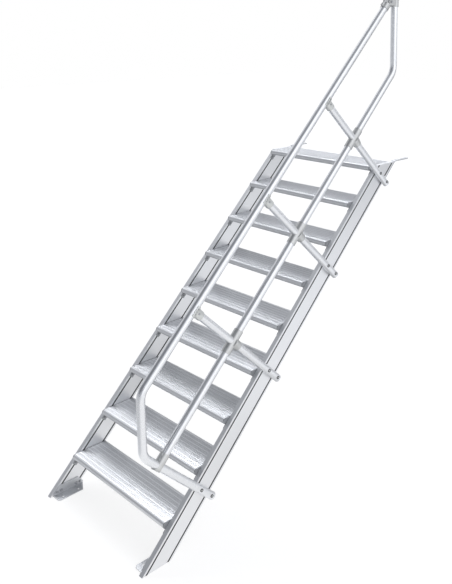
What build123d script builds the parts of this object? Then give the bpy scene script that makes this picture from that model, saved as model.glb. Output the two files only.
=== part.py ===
from build123d import *
from math import atan2, cos, degrees, radians, sin
import os

os.makedirs("parts", exist_ok=True)

# Flight
step_count = 9
rise = 211.0
going = 211.0
clear_width = 940.0

# Stringer extrusion, a hollow flat profile with a groove near each edge of both wide faces
stringer_thickness = 30.0
stringer_depth = 128.0
stringer_wall = 2.5
stringer_corner = 1.5
groove_inset = 16.5
groove_width = 5.0
groove_depth = 3.0
cap_thickness = 3.0

# Tread extrusion, a hollow plank with a rounded nose, raised lands and serrations between
tread_depth = 226.0
tread_height = 35.0
tread_wall = 2.5
nose_overhang = 51.0
nose_radius = 16.0
back_radius = 3.0
web_count = 4
land_first = 19.0
land_last = 15.2
land_count = 8
land_width = 8.0
land_height = 1.6
serration_count = 3
serration_width = 2.0
serration_height = 1.0

# Tread end plates, each with a screwed tab below the nose
plate_thickness = 5.0
tab_width = 26.0
tab_inset = 15.5
tab_end = 79.0
tab_root = 30.0
tab_corner = 4.0
tab_screw = 61.5
tab_hole = 7.0

# Foot brackets
foot_start = 20.0
foot_length = 194.0
foot_width = 70.0
foot_height = 57.0
foot_thickness = 5.0
foot_toe_rise = 16.0
foot_toe_run = 40.0
foot_heel_rise = 18.0
foot_heel_run = 30.0
foot_corner = 12.0
foot_tail = 36.0
foot_hole = 12.0
foot_hole_spacing = 100.0
foot_hole_inset = 47.0
foot_hole_centre = 90.0
foot_bolt_hole = 9.0
foot_bolt_height = 21.5
foot_bolt_pair = 26.0
foot_bolt_spread = 125.0
foot_bolt_centre = 100.0

# Landing lugs, flat bars bent from the stringer's back face onto the landing
lug_width = 27.0
lug_thickness = 8.0
lug_bearing = 170.0
lug_reach = 156.0
lug_bend = 18.0
lug_tip_radius = 12.5
lug_hole = 11.0
lug_hole_inset = 22.0

# Guard tubes
tube_diameter = 45.0
tube_wall = 2.5
handrail_offset = 702.0
knee_rail_offset = 343.0
leg_station = 495.5
strut_spacing = 714.7
strut_count = 3
tube_overrun = 8.0
lower_post_y = 23.0
upper_post_y = 2023.5
bend_radius = 95.0
top_bend_radius = 110.0
foot_screw_head = 13.0
foot_screw_hole = 8.0

# Fittings on the tubes
fit_gap = 0.2
tube_end_gap = 1.5
fitting_wall = 4.0
sleeve_reach = 70.5
collar_reach = 55.0
collar_flare = 8.0
set_screw = 7.0
set_screw_station = 30.0
set_screw_angle = 48.0
tee_reach = 68.0
tee_screw_station = 45.0

# Handrail clamps
clamp_length = 62.0
clamp_reach = 90.0
clamp_saddle_width = 50.0
clamp_tooth_count = 4
clamp_tooth_pitch = 11.0
clamp_tooth_gap = 4.5
clamp_tooth_height = 15.0
clamp_bolt = 7.0
clamp_bolt_head = 12.0
clamp_bolt_seat = 4.0
clamp_bolt_drop = 29.0
clamp_screw_drop = 75.0

# Swivel that joins the handrail's end to the upper post
swivel_standoff = 61.5
swivel_bolt = 10.0
bolt_head = 17.0
bolt_head_height = 6.0
bolt_head_edge = 2.0
tongue_width = 32.0
tongue_radius = 20.0
ear_thickness = 9.0
ear_radius = 23.5
ear_gap = 0.3
socket_length = 40.0
socket_floor = 6.0
pinch_lug_width = 16.0
pinch_lug_length = 24.0
pinch_lug_rise = 10.0
pinch_slot = 3.0
collar_drop = 31.0
collar_rise = 13.0
collar_wall = 5.5
collar_bead = 3.0
collar_bead_height = 4.0
post_rise = 17.0

# Plug in the top of the upper post
plug_stem = 28.0
plug_rim = 2.0
plug_rim_height = 4.0
plug_height = 17.0
plug_crown = 7.0

# Sizes worked out from the ones above
slope = atan2(rise, going)
height = step_count * rise
half_clear = clear_width / 2
half_outer = half_clear + stringer_thickness
stringer_x = half_clear + stringer_thickness / 2
tube_radius = tube_diameter / 2
rail_x = half_outer + tube_radius
bore_radius = tube_radius + fit_gap
sleeve_radius = bore_radius + fitting_wall
collar_radius = bore_radius + collar_wall
tread_length = clear_width - 2 * plate_thickness
stringer_length = height / sin(slope)
land_pitch = (tread_depth - land_first - land_last) / (land_count - 1)
serration_pitch = (land_pitch - land_width) / (serration_count + 1)
socket_top = ear_radius + tube_end_gap
rail_end_gap = socket_top + socket_floor + tube_end_gap

# The origin is on the underside of the left foot, between its two floor holes
origin = Vector(-half_clear + foot_hole_inset, foot_start + foot_hole_centre, 0)


def export(shape, name):
    shape = shape.moved(Location(-origin))
    export_step(shape, "parts/" + name + ".step")


def on_slope(x, along, behind):
    """A point by its distance along the stringers and behind their front edge."""
    return Vector(
        x,
        along * cos(slope) + behind * sin(slope),
        along * sin(slope) - behind * cos(slope),
    )


along_axis = Vector(0, cos(slope), sin(slope))
behind_axis = Vector(0, sin(slope), -cos(slope))


def slope_plane(x, along, behind):
    """Plane across X whose own X runs up the slope and whose own Y leads to the handrail."""
    return Plane(origin=on_slope(x, along, behind), x_dir=along_axis, z_dir=(1, 0, 0))


def cylinder_between(start, end, radius):
    axis = end - start
    plane = Plane(origin=start, z_dir=axis.normalized())
    return Solid.make_cylinder(radius, axis.length, plane)


def cone_between(start, end, start_radius, end_radius):
    axis = end - start
    plane = Plane(origin=start, z_dir=axis.normalized())
    return Solid.make_cone(start_radius, end_radius, axis.length, plane)


def tube_between(start, end):
    bore = cylinder_between(start, end, tube_radius - tube_wall)
    return cylinder_between(start, end, tube_radius) - bore


def bent_tube(points, radii):
    """Round tube along straight runs that are joined by tangent arcs."""
    path = FilletPolyline(*points, radius=radii, close=False)
    plane = Plane(origin=path @ 0, z_dir=path % 0)
    ring = plane * (Circle(tube_radius) - Circle(tube_radius - tube_wall))
    return sweep(ring, path=path)


def stringer_profile():
    outer = RectangleRounded(stringer_thickness, stringer_depth, stringer_corner)
    edge = stringer_depth / 2
    for side in (-1, 1):
        for end in (-1, 1):
            place = Location((side * stringer_thickness / 2, end * (edge - groove_inset), 0))
            outer -= place * Rectangle(2 * groove_depth, groove_width)
    inner_width = stringer_thickness - 2 * stringer_wall
    lip = groove_inset - groove_width / 2 - 2 * stringer_wall
    for end in (-1, 1):
        place = Location((0, end * (edge - stringer_wall - lip / 2), 0))
        outer -= place * Rectangle(inner_width, lip)
    core = stringer_depth - 2 * groove_inset - groove_width - 2 * stringer_wall
    outer -= Rectangle(inner_width, core)
    return outer


def cut_level(side, profile, bottom, top):
    """Profile run up the slope on one side and cut level at two heights."""
    base = on_slope(side * stringer_x, 0, stringer_depth / 2)
    plane = Plane(origin=base, x_dir=(1, 0, 0), z_dir=along_axis)
    spare = 2 * stringer_depth
    bar = extrude(plane.offset(-spare) * profile, stringer_length + 2 * spare)
    bar = split(bar, Plane.XY.offset(bottom), keep=Keep.TOP)
    return split(bar, Plane.XY.offset(top), keep=Keep.BOTTOM)


def stringer(side):
    return cut_level(side, stringer_profile(), 0, height - cap_thickness)


def stringer_cap(side):
    """Plate that closes the level cut at a stringer's top."""
    outline = RectangleRounded(stringer_thickness, stringer_depth, stringer_corner)
    return cut_level(side, outline, height - cap_thickness, height)


def plank_outline():
    """Outer section in Y and Z with the stringers' front edge at Y 0 and the top at Z 0."""
    front = -nose_overhang
    outline = Rectangle(tread_depth, tread_height, align=(Align.MIN, Align.MAX))
    outline = Location((front, 0, 0)) * outline
    outline = fillet(outline.vertices().group_by(Axis.X)[0], nose_radius)
    return fillet(outline.vertices().group_by(Axis.X)[-1], back_radius)


def tread_profile():
    section = plank_outline()
    front = -nose_overhang
    hollow = offset(section, -tread_wall, kind=Kind.INTERSECTION)
    for i in range(web_count):
        y = front + (i + 1) * tread_depth / (web_count + 1)
        hollow -= Location((y, -tread_height / 2, 0)) * Rectangle(tread_wall, tread_height)
    section -= hollow
    land = Rectangle(land_width, land_height, align=(Align.CENTER, Align.MIN))
    serration = Rectangle(serration_width, serration_height, align=(Align.CENTER, Align.MIN))
    for i in range(land_count):
        y = front + land_first + i * land_pitch
        section += Location((y, 0, 0)) * land
        if i < land_count - 1:
            for j in range(serration_count):
                place = Location((y + land_width / 2 + (j + 1) * serration_pitch, 0, 0))
                section += place * serration
    return section


def tread_plane(x, level):
    base = Vector(x, level * going, level * rise - land_height)
    return Plane(origin=base, x_dir=(0, 1, 0), z_dir=(1, 0, 0))


def tread(level):
    plane = tread_plane(-tread_length / 2, level)
    return extrude(plane * tread_profile(), tread_length)


def end_plate(level, side):
    """Plate that closes a tread's end, with a tab down the stringer's front groove."""
    outline = plank_outline()
    middle = on_slope(0, -(tab_root + tab_end) / 2, tab_inset)
    tab = RectangleRounded(tab_end - tab_root, tab_width, tab_corner)
    outline += Location((middle.Y, middle.Z + land_height, 0), (0, 0, degrees(slope))) * tab
    screw = on_slope(0, -tab_screw, groove_inset)
    outline -= Location((screw.Y, screw.Z + land_height, 0)) * Circle(tab_hole / 2)
    x = -half_clear if side < 0 else half_clear - plate_thickness
    return extrude(tread_plane(x, level) * outline, plate_thickness)


def foot_bracket(side):
    """Angle on the inner face of a stringer, with its corners cut back."""
    flange = make_face(
        Polyline(
            (0, 0),
            (foot_width - foot_corner, 0),
            (foot_width, foot_corner),
            (foot_width, foot_length - foot_tail),
            (0, foot_length),
            close=True,
        )
    )
    for end in (-1, 1):
        y = foot_hole_centre + end * foot_hole_spacing / 2
        flange -= Location((foot_hole_inset, y, 0)) * Circle(foot_hole / 2)
    web = make_face(
        Polyline(
            (0, 0),
            (0, foot_toe_rise),
            (foot_toe_run, foot_height),
            (foot_length - foot_heel_run, foot_height),
            (foot_length, foot_heel_rise),
            (foot_length, 0),
            close=True,
        )
    )
    for pair in (-1, 1):
        for bolt in (-1, 1):
            y = foot_bolt_centre + (pair * foot_bolt_spread + bolt * foot_bolt_pair) / 2
            web -= Location((y, foot_bolt_height, 0)) * Circle(foot_bolt_hole / 2)
    bracket = extrude(flange, foot_thickness) + extrude(Plane.YZ * web, foot_thickness)
    bracket = bracket.moved(Location((-half_clear, foot_start, 0)))
    return bracket if side < 0 else mirror(bracket, about=Plane.YZ)


def landing_lug(side):
    """Flat bar up the stringer's back face, bent level to lie on the landing."""
    middle = stringer_depth + lug_thickness / 2
    level = height + lug_thickness / 2
    corner_along = (level + middle * cos(slope)) / sin(slope)
    corner = on_slope(0, corner_along, middle)
    low = on_slope(0, corner_along - lug_bearing, middle)
    tip = corner + Vector(0, lug_reach, 0)
    path = FilletPolyline(low, corner, tip, radius=lug_bend, close=False)
    plane = Plane(origin=path @ 0, x_dir=(1, 0, 0), z_dir=path % 0)
    bar = sweep(plane * Rectangle(lug_width, lug_thickness), path=path)
    corners = bar.edges().filter_by(Axis.Z).group_by(Axis.Y)[-1]
    bar = fillet(corners, lug_tip_radius)
    hole_y = tip.Y - lug_hole_inset
    drill = cylinder_between(
        Vector(0, hole_y, height - lug_thickness),
        Vector(0, hole_y, height + 2 * lug_thickness),
        lug_hole / 2,
    )
    return (bar - drill).moved(Location((side * stringer_x, 0, 0)))


def height_on_rail(y, offset_from_front):
    """Height of a rail parallel to the slope where it passes over that Y."""
    return (y * sin(slope) + offset_from_front) / cos(slope)


def rail_point(y, offset_from_front):
    return Vector(rail_x, y, height_on_rail(y, offset_from_front))


# The swivel's pivot lies on the handrail's axis, a little before the upper post
pivot = rail_point(upper_post_y - swivel_standoff, handrail_offset)
post_top = Vector(rail_x, upper_post_y, pivot.Z + post_rise)


def handrail():
    foot = on_slope(rail_x, leg_station, stringer_depth + tube_overrun)
    knee_z = (leg_station - lower_post_y * cos(slope)) / sin(slope)
    knee = Vector(rail_x, lower_post_y, knee_z)
    shoulder = rail_point(lower_post_y, handrail_offset)
    end = pivot - along_axis * rail_end_gap
    tube = bent_tube([foot, knee, shoulder, end], bend_radius)
    return tube - foot_screws(leg_station)


def strut_station(i):
    return leg_station + (i + 1) * strut_spacing


def foot_screws(along):
    """Holes through a tube's foot, one over each groove of the stringer."""
    holes = []
    for behind in (groove_inset, stringer_depth - groove_inset):
        face = on_slope(half_outer, along, behind)
        axis = Vector(1, 0, 0)
        start = face - axis * tube_wall
        holes.append(cylinder_between(start, face + axis * tube_radius, foot_screw_hole / 2))
        outer = face + axis * 2 * tube_diameter
        holes.append(cylinder_between(face + axis * tube_radius, outer, foot_screw_head / 2))
    return holes


def strut(i):
    """Strut from the stringer's outer face up to the knee rail's fitting."""
    t = strut_station(i)
    start = on_slope(rail_x, t, stringer_depth + tube_overrun)
    end = on_slope(rail_x, t, -knee_rail_offset + sleeve_radius + tube_end_gap)
    return tube_between(start, end) - foot_screws(t)


def upper_strut(i):
    """Strut from the knee rail's fitting, on which its foot is coped, to the handrail."""
    t = strut_station(i)
    start = on_slope(rail_x, t, -knee_rail_offset)
    end = on_slope(rail_x, t, -handrail_offset + sleeve_radius + tube_end_gap)
    reach = along_axis * 2 * tube_diameter
    cope = cylinder_between(start - reach, start + reach, sleeve_radius + fit_gap)
    return tube_between(start, end) - cope


def knee_rail(i):
    """Run of knee rail, whose ends meet the next runs in the middle of the sleeves."""
    first = tube_radius if i == 0 else 0
    start_along = leg_station + i * strut_spacing + first + tube_end_gap
    start = on_slope(rail_x, start_along, -knee_rail_offset)
    if i < strut_count:
        end_along = leg_station + (i + 1) * strut_spacing - tube_end_gap
        return tube_between(start, on_slope(rail_x, end_along, -knee_rail_offset))
    corner = rail_point(upper_post_y, knee_rail_offset)
    return bent_tube([start, corner, post_top], top_bend_radius)


def set_screws(along, stations):
    """Threaded holes on the outer side of a sleeve on the knee rail."""
    angle = radians(set_screw_angle)
    out = Vector(cos(angle), 0, 0) + behind_axis * sin(angle)
    holes = []
    for station in stations:
        start = on_slope(rail_x, along + station, -knee_rail_offset)
        holes.append(cylinder_between(start, start + out * 2 * sleeve_radius, set_screw / 2))
    return holes


def cross_fitting(i):
    """Sleeve that joins two runs of knee rail, with a flared collar for the strut."""
    t = strut_station(i)
    p = -knee_rail_offset
    low = on_slope(rail_x, t - sleeve_reach, p)
    high = on_slope(rail_x, t + sleeve_reach, p)
    centre = on_slope(rail_x, t, p)
    seat = on_slope(rail_x, t, p + sleeve_radius)
    mouth = on_slope(rail_x, t, p + collar_reach)
    body = cylinder_between(low, high, sleeve_radius)
    body += cone_between(centre, mouth, sleeve_radius + collar_flare, sleeve_radius)
    body -= cylinder_between(low, high, bore_radius)
    body -= cylinder_between(seat, mouth, bore_radius)
    return body - set_screws(t, (-set_screw_station, set_screw_station))


def tee_fitting():
    """Sleeve on the foot of the knee rail, whose end wraps round the lower leg."""
    p = -knee_rail_offset
    centre = on_slope(rail_x, leg_station, p)
    low = on_slope(rail_x, leg_station - sleeve_radius, p)
    high = on_slope(rail_x, leg_station + tee_reach, p)
    reach = behind_axis * tube_diameter
    round_leg = cylinder_between(centre - reach, centre + reach, sleeve_radius)
    body = cylinder_between(centre, high, sleeve_radius)
    body += cylinder_between(low, centre, sleeve_radius) & round_leg
    body -= cylinder_between(centre, high, bore_radius)
    body -= cylinder_between(centre - reach, centre + reach, bore_radius)
    body = body.solids().sort_by(SortBy.VOLUME)[-1]
    return body - set_screws(leg_station, (tee_screw_station,))


def handrail_clamp(i):
    """Split shell round the handrail, drawn out into a round socket for the strut."""
    t = strut_station(i)
    low = on_slope(rail_x, t - clamp_length / 2, -handrail_offset)
    high = on_slope(rail_x, t + clamp_length / 2, -handrail_offset)
    plane = Plane(
        origin=on_slope(rail_x, t, -handrail_offset),
        x_dir=along_axis,
        z_dir=behind_axis,
    )
    saddle = plane * RectangleRounded(clamp_length, clamp_saddle_width, fitting_wall)
    mouth = plane.offset(clamp_reach) * Circle(sleeve_radius)
    body = cylinder_between(low, high, sleeve_radius) + loft([saddle, mouth])
    body -= cylinder_between(low, high, bore_radius)
    seat = on_slope(rail_x, t, -handrail_offset + sleeve_radius)
    end = on_slope(rail_x, t, -handrail_offset + clamp_reach)
    body -= cylinder_between(seat, end, bore_radius)
    return body - clamp_teeth(t) - clamp_bolt_holes(t)


def clamp_teeth(along):
    """Gaps between the fingers that hook the shell together on its outer side."""
    gaps = []
    first = along - (clamp_tooth_count - 1) * clamp_tooth_pitch / 2
    for i in range(clamp_tooth_count):
        plane = slope_plane(rail_x + tube_radius - fitting_wall, 0, -handrail_offset)
        gap = Rectangle(clamp_tooth_gap, clamp_tooth_height, align=(Align.CENTER, Align.MAX))
        place = Location((first + i * clamp_tooth_pitch, 0, 0))
        gaps.append(extrude(plane * (place * gap), sleeve_radius))
    return gaps


def clamp_bolt_holes(along):
    """Counterbored hole into the clamp's web and the set screw's hole in its socket."""
    centre = on_slope(rail_x, along, -handrail_offset + clamp_bolt_drop)
    axis = Vector(1, 0, 0)
    face = centre + axis * clamp_saddle_width / 2
    shank = cylinder_between(centre, face, clamp_bolt / 2)
    head = cylinder_between(face - axis * clamp_bolt_seat, face + axis, clamp_bolt_head / 2)
    socket = on_slope(rail_x, along, -handrail_offset + clamp_screw_drop)
    screw = cylinder_between(socket, socket + axis * 2 * sleeve_radius, set_screw / 2)
    return [shank, head, screw]


def bar_along(start, end, half_height, half_width):
    """Flat bar between two points at one X, with a round end of its height at the second."""
    run = end - start
    plane = Plane(origin=start - Vector(half_width, 0, 0), x_dir=run.normalized(), z_dir=(1, 0, 0))
    shape = Rectangle(run.length, 2 * half_height, align=(Align.MIN, Align.CENTER))
    shape += Location((run.length, 0, 0)) * Circle(half_height)
    return extrude(plane * shape, 2 * half_width)


def pinch_block(low, width):
    """Block of the pinch lug's outline over the socket's mouth, centred on the tube."""
    plane = Plane(origin=low - Vector(width / 2, 0, 0), x_dir=along_axis, z_dir=(1, 0, 0))
    outline = Rectangle(
        pinch_lug_length, sleeve_radius + pinch_lug_rise, align=(Align.MIN, Align.MIN)
    )
    return extrude(plane * outline, width)


def handrail_socket():
    """Socket on the handrail's end with the swivel's tongue and a pinch lug."""
    top = pivot - along_axis * socket_top
    floor = top - along_axis * socket_floor
    low = top - along_axis * socket_length
    body = cylinder_between(low, top, sleeve_radius)
    tongue = bar_along(floor, pivot, tongue_radius, tongue_width / 2)
    body += pinch_block(low, pinch_lug_width)
    body -= pinch_block(low, pinch_slot)
    body -= cylinder_between(low, floor, bore_radius)
    body += tongue
    axis = Vector(tongue_width, 0, 0)
    return body - cylinder_between(pivot - axis, pivot + axis, swivel_bolt / 2 + fit_gap)


def post_collar():
    """Collar round the upper post with the swivel's two ears."""
    low = Vector(rail_x, upper_post_y, pivot.Z - collar_drop)
    high = Vector(rail_x, upper_post_y, pivot.Z + collar_rise)
    bead = high - Vector(0, 0, collar_bead_height)
    core = cylinder_between(low, high, collar_radius)
    root = Vector(rail_x, upper_post_y, pivot.Z)
    half = tongue_width / 2 + ear_gap + ear_thickness
    ears = split(bar_along(root, pivot, ear_radius, half), Plane(high), keep=Keep.BOTTOM)
    tongue_space = bar_along(root, pivot, 2 * ear_radius, tongue_width / 2 + ear_gap)
    body = core + cylinder_between(bead, high, collar_radius + collar_bead) + ears
    body -= tongue_space - core
    body -= cylinder_between(low, high, bore_radius)
    axis = Vector(2 * half, 0, 0)
    return body - cylinder_between(pivot - axis, pivot + axis, swivel_bolt / 2 + fit_gap)


def swivel_pin():
    """Bolt through the swivel, with a round head outside and a nut inside."""
    half = tongue_width / 2 + ear_gap + ear_thickness
    axis = Vector(1, 0, 0)
    inner = pivot - axis * half
    outer = pivot + axis * half
    pin = cylinder_between(inner - axis * bolt_head_height, outer + axis, swivel_bolt / 2)
    head = cylinder_between(outer, outer + axis * bolt_head_height, bolt_head / 2)
    head = fillet(head.edges().group_by(Axis.X)[-1], bolt_head_edge)
    plane = Plane(origin=inner, z_dir=(-1, 0, 0))
    nut = extrude(plane * RegularPolygon(bolt_head / 2, 6), bolt_head_height)
    return pin + head + nut


def post_plug():
    """Domed plug with a rim that sits on the upper post's end."""
    stem_radius = tube_radius - tube_wall - fit_gap
    profile = make_face(
        Polyline(
            (0, -plug_stem),
            (stem_radius, -plug_stem),
            (stem_radius, 0),
            (tube_radius + plug_rim, 0),
            (tube_radius, plug_rim_height),
            (tube_radius, plug_height),
            (0, plug_height),
            close=True,
        )
    )
    crown = profile.vertices().group_by(Axis.Y)[-1].sort_by(Axis.X)[-1]
    profile = fillet(crown, plug_crown)
    plug = revolve(Plane.XZ * profile, Axis.Z)
    return plug.moved(Location(post_top))


nodes = {
    "stringer_left": stringer(-1),
    "stringer_right": stringer(1),
    "stringer_cap_left": stringer_cap(-1),
    "stringer_cap_right": stringer_cap(1),
    "foot_bracket_left": foot_bracket(-1),
    "foot_bracket_right": foot_bracket(1),
    "landing_lug_left": landing_lug(-1),
    "landing_lug_right": landing_lug(1),
    "handrail": handrail(),
    "tee_fitting": tee_fitting(),
    "handrail_socket": handrail_socket(),
    "post_collar": post_collar(),
    "swivel_pin": swivel_pin(),
    "post_plug": post_plug(),
}

for level in range(1, step_count + 1):
    nodes["tread_" + str(level)] = tread(level)

for side, name in ((-1, "left"), (1, "right")):
    plates = [end_plate(level, side) for level in range(1, step_count + 1)]
    nodes["end_plates_" + name] = Compound(plates)

for i in range(strut_count):
    number = str(i + 1)
    nodes["strut_" + number] = strut(i)
    nodes["upper_strut_" + number] = upper_strut(i)
    nodes["cross_fitting_" + number] = cross_fitting(i)
    nodes["handrail_clamp_" + number] = handrail_clamp(i)

for i in range(strut_count + 1):
    nodes["knee_rail_" + str(i + 1)] = knee_rail(i)

for name, shape in nodes.items():
    export(shape, name)
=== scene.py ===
import bmesh
import bpy
from math import atan2, cos, pi, radians, sin, sqrt
from mathutils import Matrix, Vector


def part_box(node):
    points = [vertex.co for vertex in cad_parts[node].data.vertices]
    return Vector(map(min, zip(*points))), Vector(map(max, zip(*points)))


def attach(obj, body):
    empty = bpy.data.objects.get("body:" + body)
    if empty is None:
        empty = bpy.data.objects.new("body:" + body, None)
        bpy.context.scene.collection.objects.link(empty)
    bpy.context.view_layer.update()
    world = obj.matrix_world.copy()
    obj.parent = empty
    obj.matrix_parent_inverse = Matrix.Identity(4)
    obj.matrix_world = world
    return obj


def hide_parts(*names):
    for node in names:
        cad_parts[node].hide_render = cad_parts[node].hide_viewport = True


bl_info = {
    "name": "Access stair finish",
    "version": (1, 0, 0),
    "blender": (4, 5, 0),
    "location": "3D View > Sidebar > Stair",
    "description": "Finishes, fasteners and studio for an aluminium access stair with a guardrail",
    "category": "Object",
}

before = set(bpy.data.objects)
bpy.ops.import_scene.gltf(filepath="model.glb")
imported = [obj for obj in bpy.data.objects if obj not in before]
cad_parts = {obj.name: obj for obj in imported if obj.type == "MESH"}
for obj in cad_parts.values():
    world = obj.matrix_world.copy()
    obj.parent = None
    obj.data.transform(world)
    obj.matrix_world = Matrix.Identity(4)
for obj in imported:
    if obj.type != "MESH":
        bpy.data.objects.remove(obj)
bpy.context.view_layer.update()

# Places taken from the frame
BODY = "root"
TREADS = sorted(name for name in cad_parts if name.startswith("tread_"))
STEP_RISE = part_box("tread_2")[1].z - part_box("tread_1")[1].z
STEP_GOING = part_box("tread_2")[1].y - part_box("tread_1")[1].y
SLOPE = atan2(STEP_RISE, STEP_GOING)
UP_SLOPE = Vector((0, cos(SLOPE), sin(SLOPE)))
BEHIND = Vector((0, sin(SLOPE), -cos(SLOPE)))
RIGHT = Vector((1, 0, 0))
LEFT = Vector((-1, 0, 0))
FRONT_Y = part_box("stringer_right")[0].y
INNER_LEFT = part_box("stringer_left")[1].x
INNER_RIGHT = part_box("stringer_right")[0].x
STRINGER_DEPTH = 0.128
GROOVE_INSET = 0.0165
GROOVE_STATION = STRINGER_DEPTH / 2 - GROOVE_INSET
FLOOR_Z = -0.0005
FASTENER_FINISH = "fastener_steel"

# Seats of the fasteners on the frame's pieces, in metres
END_PLATE = 0.005
TAB_SCREW = 0.0615
TUBE_WALL = 0.0025
RECESS_FLOOR = 0.0004
WASHER_DEPTH = 0.0022
WASHER_RECESS = 0.62
FOOT_SCREW_HEIGHT = 0.0016
SET_SCREW_STATION = 0.030
SET_SCREW_ANGLE = radians(48)
SET_SCREW_SINK = 0.0006
TEE_SCREW = 0.045
RAIL_SPACING = 0.359
CLAMP_BOLT_DROP = 0.029
CLAMP_SEAT = 0.021
CLAMP_BOLT_SEAT = 0.012
CLAMP_SCREW_HEIGHT = 0.0036
BRACKET_PLATE = 0.005
FOOT_BOLT_HEIGHT = 0.0215
FOOT_BOLTS = (0.0245, 0.0505, 0.1495, 0.1755)
LUG_THICKNESS = 0.008
LUG_BOLTS = (0.035, 0.105)

# Shaping of the fasteners, as shares of their own sizes or in metres
HEAD_SIDES = 24
WASHER_SIDES = 28
ROD_SIDES = 48
HEXAGON_SIDES = 6
HEAD_ROUNDING = 0.12
WASHER_CHAMFER = 0.2
HEXAGON_CHAMFER = 0.07
POINT_TOLERANCE = 0.01
SOCKET_SHARE = 0.5
TAB_SOCKET_DEPTH = 0.6
CLAMP_SOCKET_DEPTH = 0.5
SET_SOCKET_SHARE = 0.55
SET_SOCKET_DEPTH = 0.7
RECESS_ROUNDING = 0.0005
SMOOTH_ANGLE = radians(35)

# Shaping of the handrail clamps, as shares of their own sizes or in metres
NECK_LENGTH = 0.46
NECK_SQUEEZE = 0.84
GAP_HEIGHT = 2.4
GAP_STRETCH = 2.2
CLAMP_ROUNDING = 0.0007

# Painted shade: near black painted in the stringers' grooves and on their lips, and inside the
# tubes at their feet, where the metal is bare and only shade falls
WHITE = (1.0, 1.0, 1.0, 1.0)
GROOVE_PAINTED_SHADE = (0.012, 0.012, 0.014, 1.0)
GROOVE_SHADE_HALF_WIDTH = 0.0039
GROOVE_SHADE_FADE = 0.0014
HOLLOW_PAINTED_SHADE = (0.02, 0.02, 0.022, 1.0)
HOLLOW_SHADE_FADE = 0.0006
HOLLOW_BELOW = 0.2
HOLLOW_SHARPNESS = 100.0

# Roughness of the plates, and how much smoother than the stringers tubes and treads are
PLATE_ROUGHNESS = 0.34
END_ROUGHNESS = 0.40
TUBE_POLISH = 0.08
TREAD_POLISH = 0.04

# Depths below a tread's top, for its wear and painted sheen on the lands and its painted shade
# under the nose
WEAR_AND_SHEEN_DEPTH = 0.0014
NOSE_SHADE_DEPTH = 0.011
NOSE_SHADE_FADE = 0.006

# Directions and tints of the studio's light
DARK_CEILING = Vector((-0.12, -0.50, 0.86)).normalized()
SOFTBOX = Vector((-0.45, 0.50, 0.74)).normalized()
COOL = (0.985, 1.0, 1.03)

# Floor: its painted shade in reflections, in steps of a place and a level, and its mixing
FLOOR_AHEAD = ((0.02, 1.0), (0.12, 0.52), (0.45, 0.46), (1.0, 0.55))
FLOOR_BEHIND = ((0.0, 1.0), (0.15, 0.95), (0.40, 0.80), (1.0, 0.12))
AHEAD_X = -0.53
AHEAD_Y = -0.85
AHEAD_REACH = 5.0
BEHIND_START = 1.0
BEHIND_REACH = 12.0
BENEATH_X = 0.2
BENEATH_HALF_WIDTH = 1.7
BENEATH_SIDE_FADE = 1.0
BENEATH_START = 0.4
BENEATH_FADE = 0.8
BENEATH_SHADOW_DARKNESS = 0.75
FLOOR_PAINT = (0.9, 0.9, 0.9, 1.0)
FLOOR_GLOW = 1.2
FLOOR_GLOW_MIRRORED = 1.17
PAINT_SHARE_SEEN = 0.35
PAINT_SHARE_MIRRORED = 0.4

# Room: its greyness in steps of a place and a level, its window and its soft box
ROOM_CEILING = ((0.60, 1.0), (0.75, 0.55), (0.87, 0.27))
ROOM_FRONT = ((0.20, 1.0), (0.70, 0.63))
ROOM_HEIGHT = ((0.10, 0.62), (0.28, 0.46), (0.45, 0.56), (0.65, 0.92))
ROOM_STRENGTH = 1.33
WINDOW_START = 0.68
WINDOW_SHARPNESS = 4.0
WINDOW_STRENGTH = 1.1
BOX_START = 0.974
BOX_FADE = 0.01
BOX_STRENGTH = 5.5

# Lamp and camera
KEY_PLACE = (-7.5, 6.5, 8.2)
KEY_TARGET = Vector((0.4, 1.0, 1.2))
KEY_SIZE = 3.4
SENSOR_WIDTH = 36.0
VIEW_END = 200.0


def on_slope(x, along, behind):
    """A point by its distance up the stringers and behind their front edge."""
    return Vector((x, FRONT_Y, 0)) + UP_SLOPE * along + BEHIND * behind


def middle(node):
    low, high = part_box(node)
    return (low + high) / 2


def slope_place(point):
    """How far a point lies up the stringers, and how far behind their front edge."""
    from_corner = point - Vector((0, FRONT_Y, 0))
    return from_corner.dot(UP_SLOPE), from_corner.dot(BEHIND)


# Guard rail, from its own nodes
RAIL_X = middle("strut_1").x
TUBE_RADIUS = (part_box("strut_1")[1].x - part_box("strut_1")[0].x) / 2
STRUT_STATIONS = [slope_place(middle("strut_" + str(i)))[0] for i in (1, 2, 3)]
LEG_STATION = 2 * STRUT_STATIONS[0] - STRUT_STATIONS[1]
KNEE_RAIL_PLACE = slope_place(middle("knee_rail_2"))[1]
SLEEVE_RADIUS = (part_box("tee_fitting")[1].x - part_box("tee_fitting")[0].x) / 2
HANDRAIL_PLACE = KNEE_RAIL_PLACE - RAIL_SPACING
CLAMPS = ["handrail_clamp_" + str(i) for i in (1, 2, 3)]


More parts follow.
